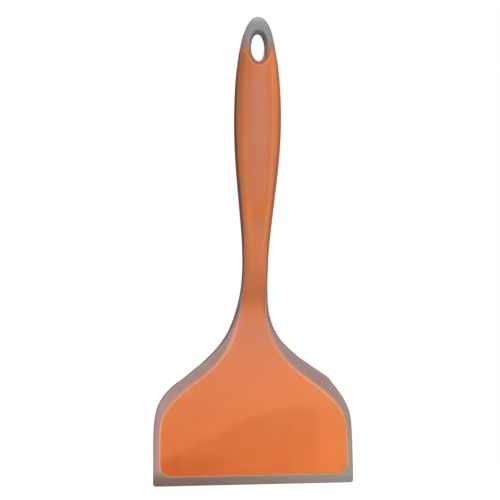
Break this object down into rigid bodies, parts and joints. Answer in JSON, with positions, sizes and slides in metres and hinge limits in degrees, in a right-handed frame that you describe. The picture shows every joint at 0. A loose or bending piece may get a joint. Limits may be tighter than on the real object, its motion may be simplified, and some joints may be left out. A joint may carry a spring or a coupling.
{
  "type": "silicone turner",
  "caption": "Wide one-piece kitchen turner: a stiff orange core moulded inside a translucent grey silicone skin, with a soft straight lip and an oval hang hole.",
  "frame": {"origin": "middle of the object's width and depth, at the height of the working lip", "axes": "+Z from the working lip up to the hang hole; -Y is the blade's top face, which food lies on; +X across the blade"},
  "size_m": [0.139, 0.0356, 0.3199],
  "materials": {
    "core_nylon": "smooth moulded, satin",
    "clear_silicone": "translucent, soft satin"
  },
  "bodies": {
    "root": {"core": "core_nylon", "silicone_overmould": "clear_silicone"}
  },
  "joints": []
}
